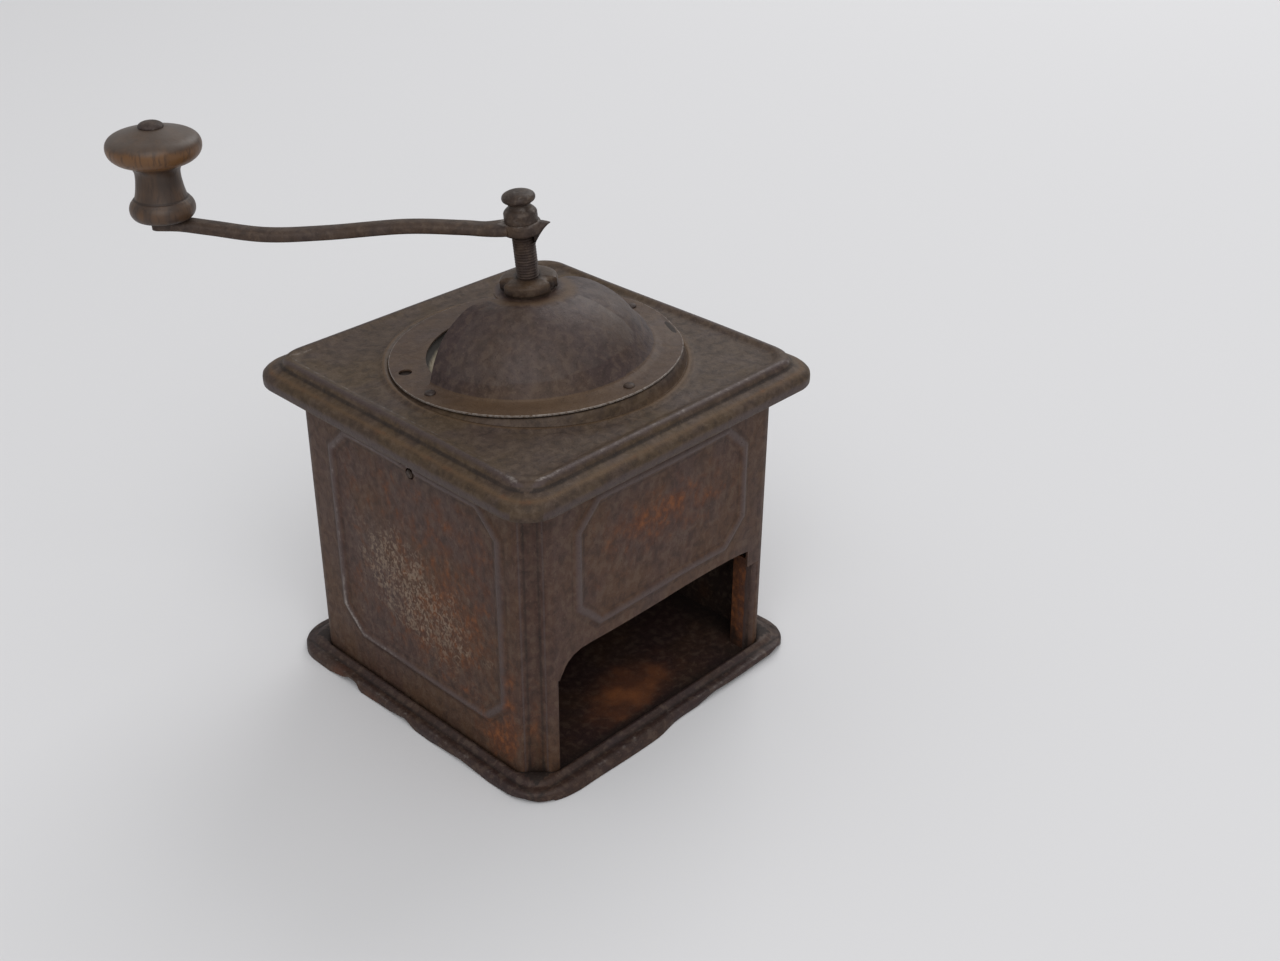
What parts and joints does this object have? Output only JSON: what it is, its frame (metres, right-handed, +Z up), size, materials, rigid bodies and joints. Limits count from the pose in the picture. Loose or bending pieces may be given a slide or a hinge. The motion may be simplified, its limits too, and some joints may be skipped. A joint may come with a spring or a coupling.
{
  "type": "spice grinder",
  "caption": "Old box mill of pressed sheet steel: domed hopper, hand crank with a turned wooden knob, adjustable burrs over an open drawer bay.",
  "frame": {"origin": "middle of the base's underside, on the table", "axes": "+Z up, -Y towards the front with the drawer opening, +X to the right seen from the front"},
  "size_m": [0.173, 0.1773, 0.2076],
  "materials": {
    "patinated_sheet": "dark brown patina, worn",
    "body_sheet": "reddish brown patina with pale specks",
    "lid_sheet": "brown olive patina, rubbed bright on its ridges",
    "dome_sheet": "purple brown patina, rubbed",
    "plain_steel": "dull, dark",
    "bright_steel": "dull, scratched",
    "cast_iron": "rough, as cast",
    "turned_wood": "dark varnish, worn through to orange brown"
  },
  "bodies": {
    "housing": {"base_plate": "patinated_sheet", "body_shell": "body_sheet", "lid": "lid_sheet", "lid_brackets": "plain_steel", "side_screws": "bright_steel", "hopper_dome": "dome_sheet", "dome_rivets": "plain_steel", "hopper_bowl": "dome_sheet", "top_bush": "plain_steel", "grinding_case": "cast_iron", "outer_burr": "cast_iron", "case_screws": "plain_steel", "lower_strap": "plain_steel", "strap_screws": "plain_steel"},
    "washer_ring": {"thrust_washer": "bright_steel"},
    "rotor": {"spindle": "plain_steel", "inner_burr": "cast_iron", "burr_pin": "plain_steel", "crank_arm": "patinated_sheet", "cap_nut": "patinated_sheet", "knob_pin": "plain_steel"},
    "adjuster": {"adjusting_nut": "patinated_sheet"},
    "crank_knob": {"knob": "turned_wood"},
    "shutter": {"hopper_shutter": "bright_steel"}
  },
  "joints": [
    {"name": "crank_turn", "type": "hinge", "parent": "housing", "child": "washer_ring", "pos_m": [0, 0, 0.1281], "axis": [-0.0793, 0.0439, 0.9959], "continuous": true},
    {"name": "nut_turn", "type": "hinge", "parent": "washer_ring", "child": "adjuster", "pos_m": [0, 0, 0.1281], "axis": [-0.0793, 0.0439, 0.9959], "range_deg": [-271, 271]},
    {"name": "burr_lift", "type": "slide", "parent": "washer_ring", "child": "rotor", "axis": [-0.0793, 0.0439, 0.9959], "range_m": [-0.00075, 0.00075]},
    {"name": "knob_spin", "type": "hinge", "parent": "rotor", "child": "crank_knob", "pos_m": [-0.08518, 0.08951, 0.18], "axis": [0, 0, 1], "continuous": true},
    {"name": "shutter_turn", "type": "hinge", "parent": "housing", "child": "shutter", "pos_m": [0, 0, 0.1281], "axis": [-0.0793, 0.0439, 0.9959], "range_deg": [0, 180]}
  ],
  "couplings": [
    {"joint": "nut_turn", "follows": "burr_lift", "rad_per_m": -6283.2}
  ]
}
